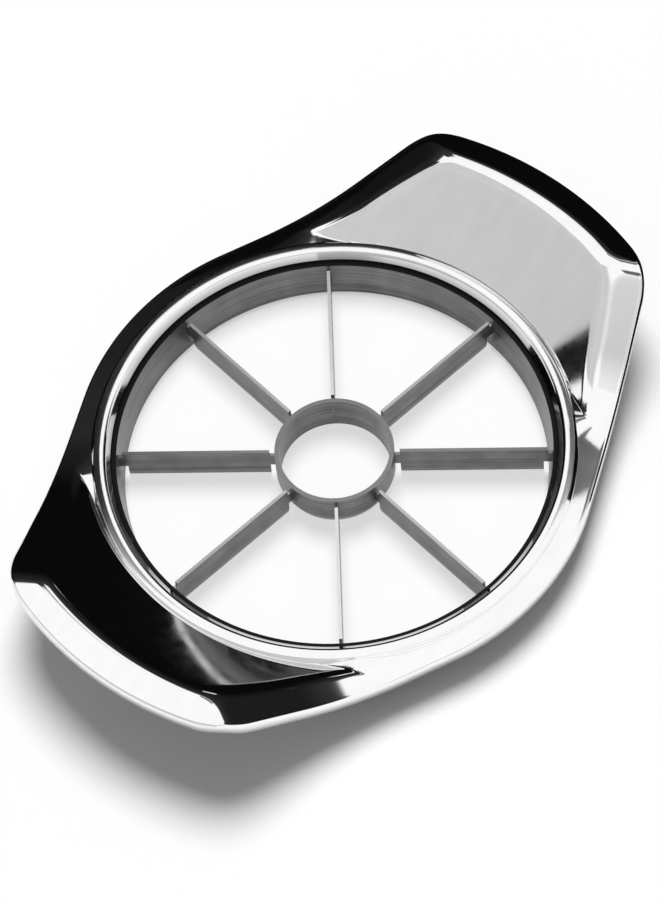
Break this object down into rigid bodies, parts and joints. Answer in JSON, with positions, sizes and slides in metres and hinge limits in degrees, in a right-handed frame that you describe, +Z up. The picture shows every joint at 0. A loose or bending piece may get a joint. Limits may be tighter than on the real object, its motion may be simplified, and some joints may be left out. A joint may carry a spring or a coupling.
{
  "type": "apple slicer",
  "caption": "Polished oval steel frame with a raised wing handle at each end, holding a tapered band, radial blades and a core ring for dividing apples.",
  "frame": {"origin": "on the axis of the round opening, on the plane that the band, the core ring and the cutting edges rest on", "axes": "+X along the handles, +Y across them, +Z up along the axis of the opening, from the cutting edges towards the apple"},
  "size_m": [0.1484, 0.1088, 0.022],
  "materials": {
    "polished_steel": "mirror polished stainless steel",
    "satin_steel": "satin stainless strip, brushed along its length"
  },
  "bodies": {
    "root": {"body_frame": "polished_steel", "blade_band": "satin_steel", "core_ring": "satin_steel", "blade_1": "satin_steel", "blade_2": "satin_steel", "blade_3": "satin_steel", "blade_4": "satin_steel", "blade_5": "satin_steel", "blade_6": "satin_steel", "blade_7": "satin_steel", "blade_8": "satin_steel"}
  },
  "joints": []
}
